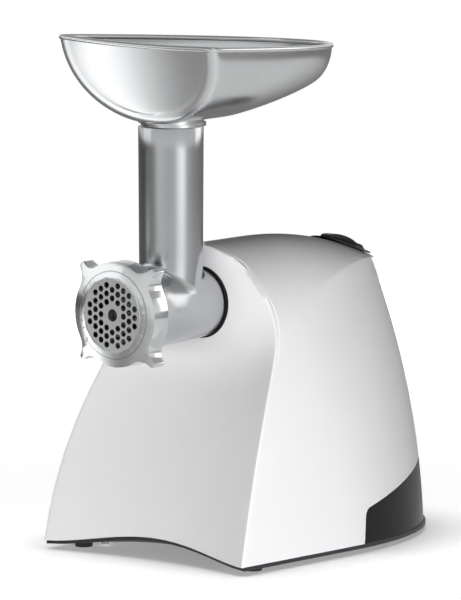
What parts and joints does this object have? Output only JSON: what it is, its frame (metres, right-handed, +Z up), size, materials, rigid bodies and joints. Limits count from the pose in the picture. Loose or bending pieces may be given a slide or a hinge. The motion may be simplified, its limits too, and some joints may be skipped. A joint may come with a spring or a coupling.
{
  "type": "electric meat grinder",
  "caption": "Upright moulded housing with an S-shaped front, a cast head with feed tube, auger, knife, perforated plate and lugged ring nut, and a boat-shaped hopper on top.",
  "frame": {"origin": "middle of the overall box's width and depth, on the surface that the feet stand on", "axes": "+Z up; -Y towards the perforated plate and ring nut; +Y towards the rear of the housing; +X to the right seen from the front"},
  "size_m": [0.1824, 0.3062, 0.3645],
  "materials": {
    "housing_white": "glossy white moulded plastic with crisp creases",
    "base_grey": "satin dark grey moulding",
    "cover_dark": "glossy dark moulding",
    "foot_rubber": "matte black rubber",
    "switch_black": "satin black moulding",
    "inner_plastic": "plain moulding",
    "socket_black": "matte black moulding",
    "seal_rubber": "black rubber",
    "cast_aluminium": "satin cast aluminium, polished outside",
    "polished_nut": "bright polished cast aluminium",
    "plate_steel": "ground steel",
    "hopper_sheet": "polished pressed aluminium",
    "gear_plastic": "off-white gear plastic",
    "machined_steel": "machined steel",
    "zinc_screw": "zinc-plated steel",
    "gearbox_metal": "die cast, unpolished",
    "bronze": "sintered bronze",
    "copper": "enamelled copper wire",
    "lamination": "stacked steel sheets",
    "fan_black": "matte moulding",
    "nylon_washer": "smooth nylon",
    "capacitor_yellow": "plain moulding"
  },
  "bodies": {
    "base": {"housing": "housing_white", "base_plate": "base_grey", "rear_cover": "cover_dark", "foot_front_left": "foot_rubber", "foot_front_right": "foot_rubber", "foot_rear_left": "foot_rubber", "foot_rear_right": "foot_rubber", "base_screws": "zinc_screw", "cord_gland": "foot_rubber", "switch_bezel": "switch_black", "switch_body": "inner_plastic", "drive_socket": "socket_black", "socket_seal": "seal_rubber", "idler_pins": "machined_steel", "gearbox_case": "gearbox_metal", "gearbox_cover": "gearbox_metal", "gearbox_screws": "zinc_screw", "front_bush": "bronze", "rear_bush": "bronze", "field_stack": "lamination", "field_coils": "copper", "front_bracket": "gearbox_metal", "rear_bracket": "gearbox_metal", "motor_bearings": "machined_steel", "brush_holders": "bronze", "motor_bolts": "zinc_screw", "terminal_block": "inner_plastic", "capacitor": "capacitor_yellow"},
    "head": {"grinder_head": "cast_aluminium", "perforated_plate": "plate_steel", "thrust_washer": "nylon_washer"},
    "ring": {"ring_nut": "polished_nut"},
    "hopper": {"hopper_tray": "hopper_sheet", "hopper_neck": "hopper_sheet"},
    "drive": {"auger": "cast_aluminium", "knife": "plate_steel", "output_shaft": "machined_steel", "output_gear": "machined_steel"},
    "second_idler": {"second_idler": "gear_plastic"},
    "first_idler": {"first_idler": "gear_plastic"},
    "rotor": {"motor_pinion": "machined_steel", "motor_shaft": "machined_steel", "armature_core": "lamination", "armature_windings": "copper", "commutator": "copper", "cooling_fan": "fan_black"},
    "knob": {"switch_knob": "switch_black"}
  },
  "joints": [
    {"name": "rotor_spin", "type": "hinge", "parent": "base", "child": "rotor", "pos_m": [0, 0, 0.0781], "axis": [0, 1, 0], "continuous": true},
    {"name": "first_idler_spin", "type": "hinge", "parent": "base", "child": "first_idler", "pos_m": [0, 0, 0.1081], "axis": [0, 1, 0], "continuous": true},
    {"name": "second_idler_spin", "type": "hinge", "parent": "base", "child": "second_idler", "pos_m": [0, 0, 0.1406], "axis": [0, 1, 0], "continuous": true},
    {"name": "drive_spin", "type": "hinge", "parent": "base", "child": "drive", "pos_m": [0, 0, 0.1766], "axis": [0, 1, 0], "continuous": true},
    {"name": "head_turn", "type": "hinge", "parent": "base", "child": "head", "pos_m": [0, 0, 0.1766], "axis": [0, 1, 0], "range_deg": [0, 45]},
    {"name": "ring_turn", "type": "hinge", "parent": "head", "child": "ring", "pos_m": [0, 0, 0.1766], "axis": [0, -1, 0], "range_deg": [0, 810]},
    {"name": "hopper_lift", "type": "slide", "parent": "head", "child": "hopper", "axis": [0, 0, 1], "range_m": [0, 0.05]},
    {"name": "knob_turn", "type": "hinge", "parent": "base", "child": "knob", "pos_m": [0, 0.09114, 0.20319], "axis": [0, 0.3061, 0.952], "range_deg": [-45, 45]}
  ],
  "couplings": [
    {"joint": "first_idler_spin", "follows": "rotor_spin", "ratio": -0.25},
    {"joint": "second_idler_spin", "follows": "rotor_spin", "ratio": 0.075},
    {"joint": "drive_spin", "follows": "rotor_spin", "ratio": -0.025}
  ]
}
